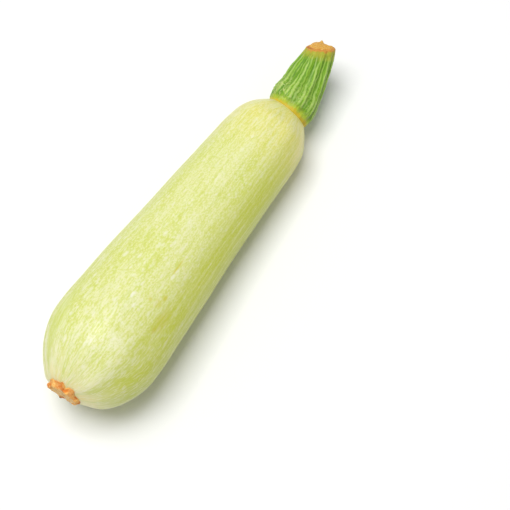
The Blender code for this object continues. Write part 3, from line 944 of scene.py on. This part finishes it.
def cork_material(growth):
    """Dry cork, tan with brown cracks on its face and orange on the knobs of its rim."""
    material, tree, shader = new_material("scar_cork")
    rim = attribute(tree, "rim")
    knob = attribute(tree, "knob")
    crack = attribute(tree, "crack")
    part = place_on_piece(tree)["Y"]
    streaks = grown(tree, growth, 60, 6, Detail=2.0)
    grain = grown(tree, growth, 90, 60, Detail=2.0, Shift=6)

    colour = mix_colours(tree, spread_to(tree, streaks, 0.38, 0.6), srgb(255, 194, 104), srgb(255, 230, 170))
    ring = mix_colours(tree, spread_to(tree, knob, -0.35, 0.35), srgb(230, 132, 38), srgb(252, 192, 102))
    colour = mix_colours(tree, rim, colour, ring)
    colour = mix_colours(tree, times(tree, crack, 0.35), colour, srgb(206, 112, 46))
    pit = spread_to(tree, part, 0.06, 0.16, 0.45, 0)
    colour = mix_colours(tree, pit, colour, srgb(190, 126, 72))
    specks = spread_to(tree, grain, 0.66, 0.72, 0, 0.6)
    colour = mix_colours(tree, specks, colour, srgb(150, 86, 44))
    colour = mix_colours(tree, spread_to(tree, grain, 0.32, 0.44, 0.5, 0), colour, srgb(255, 224, 164))
    torn = spread_to(tree, attribute(tree, "tear"), 0.2, 0.7, 0, 0.85)
    colour = mix_colours(tree, torn, colour, srgb(226, 108, 36))
    tufted = spread_to(tree, attribute(tree, "tuft"), 0.3, 0.7, 0, 0.85)
    colour = mix_colours(tree, tufted, colour, srgb(126, 78, 38))

    roughness = spread_to(tree, grain, 0.3, 0.7, 0.7, 0.9)
    join_looks(tree, shader, colour, roughness, (grain, 0.0004, 0.8))
    return material


def make_floor():
    """A plain white floor. Its far part glows a little, to meet the white backdrop without a line."""
    deselect_all()
    bpy.ops.mesh.primitive_plane_add(size=FLOOR_SIZE, location=(0, 0, FLOOR_LEVEL))
    floor = bpy.context.object
    floor.name = "floor"
    material, tree, shader = new_material("white_floor")
    shader.inputs["Base Color"].default_value = FLOOR_COLOUR
    shader.inputs["Roughness"].default_value = FLOOR_ROUGHNESS
    position = place(tree, "ShaderNodeNewGeometry").outputs["Position"]
    glow = place(tree, "ShaderNodeMapRange", {
        "Value": place(tree, "ShaderNodeVectorMath", {0: position}, operation="LENGTH").outputs["Value"],
        "From Min": FLOOR_GLOW_STARTS,
        "From Max": FLOOR_GLOW_FULL,
        "To Max": FLOOR_GLOW,
    })
    tree.links.new(glow.outputs[0], shader.inputs["Emission Color"])
    shader.inputs["Emission Strength"].default_value = 1.0
    floor.data.materials.append(material)


def make_light():
    """The key light, a large soft square high above the marrow, which it faces."""
    towards = Vector(KEY_LIGHT_TOWARDS)
    location = Vector(CAMERA_AIM) + KEY_LIGHT_DISTANCE * towards.normalized()
    bpy.ops.object.light_add(type="AREA", location=location)
    light = bpy.context.object
    light.name = "key_light"
    light.data.size = KEY_LIGHT_SIZE
    light.data.energy = KEY_LIGHT_POWER
    light.data.color = KEY_LIGHT_COLOUR
    light.rotation_mode = "QUATERNION"
    light.rotation_quaternion = (-towards).to_track_quat("-Z", "Y")


def make_world():
    """Soft white fill light, with a plain white backdrop beyond the floor."""
    world = bpy.data.worlds.new("studio")
    world.use_nodes = True
    tree = world.node_tree
    fill = tree.nodes["Background"]
    fill.inputs["Color"].default_value = (1.0, 1.0, 1.0, 1)
    fill.inputs["Strength"].default_value = FILL_STRENGTH
    backdrop = place(tree, "ShaderNodeBackground", {"Color": (1.0, 1.0, 1.0, 1), "Strength": 1.0})
    seen = place(tree, "ShaderNodeMixShader", {
        0: place(tree, "ShaderNodeLightPath").outputs["Is Camera Ray"],
        1: fill.outputs["Background"],
        2: backdrop.outputs["Background"],
    })
    tree.links.new(seen.outputs["Shader"], tree.nodes["World Output"].inputs["Surface"])
    bpy.context.scene.world = world
    bpy.context.scene.view_settings.view_transform = "Standard"


def make_camera():
    """The camera looks down on the marrow, with the middle of the fruit at its own pixel of the picture."""
    azimuth, elevation = CAMERA_AZIMUTH, CAMERA_ELEVATION
    back = Vector((
        math.sin(azimuth) * math.cos(elevation),
        -math.cos(azimuth) * math.cos(elevation),
        math.sin(elevation),
    ))
    turn = (-back).to_track_quat("-Z", "Y")
    right = turn @ Vector((1, 0, 0))
    up = turn @ Vector((0, 1, 0))
    aside = (AIM_PIXEL[0] - PICTURE_SIZE / 2) / CAMERA_FOCUS_PIXELS
    above = (PICTURE_SIZE / 2 - AIM_PIXEL[1]) / CAMERA_FOCUS_PIXELS
    place_at = Vector(CAMERA_AIM) + CAMERA_DISTANCE * (back - aside * right - above * up)
    bpy.ops.object.camera_add(location=place_at)
    camera = bpy.context.object
    camera.name = "camera"
    camera.rotation_mode = "QUATERNION"
    camera.rotation_quaternion = turn
    camera.data.sensor_width = SENSOR_WIDTH
    camera.data.lens = SENSOR_WIDTH * CAMERA_FOCUS_PIXELS / PICTURE_SIZE
    bpy.context.scene.camera = camera


make_camera()
make_world()
make_floor()
make_light()
growth = make_grown_noise()
make_fruit(skin_material(growth, make_grown_spots(), make_skin_mark()))
make_stem(stem_material(growth))
make_scar(cork_material(growth))
